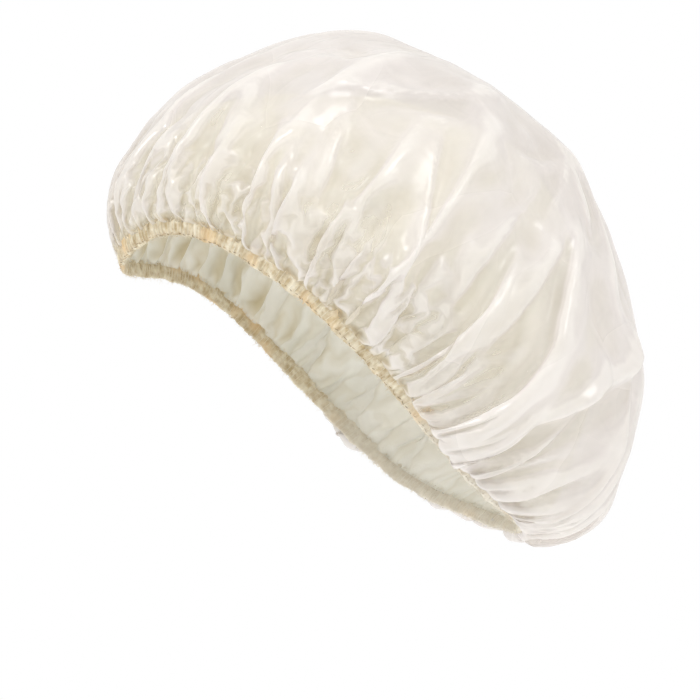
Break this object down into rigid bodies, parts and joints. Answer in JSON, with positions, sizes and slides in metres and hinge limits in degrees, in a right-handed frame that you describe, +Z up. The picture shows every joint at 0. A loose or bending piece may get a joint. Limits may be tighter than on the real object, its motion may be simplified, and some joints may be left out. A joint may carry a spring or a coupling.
{
  "type": "rinse-free shampoo cap",
  "caption": "Round bouffant cap of milky plastic film over a damp non-woven lining, gathered on an elastic hem, in the shape it takes on a head.",
  "frame": {"origin": "inner face of the lining at the top of the crown, where the cap rests on the top of the head", "axes": "+Z up, -Y towards the forehead, +X towards the wearer's left ear"},
  "size_m": [0.2096, 0.2398, 0.2249],
  "materials": {
    "film": "milky translucent film",
    "lining": "damp non-woven",
    "elastic": "gathered fold-over elastic"
  },
  "bodies": {
    "root": {"film_crown": "film", "lining": "lining", "elastic_binding": "elastic"}
  },
  "joints": []
}
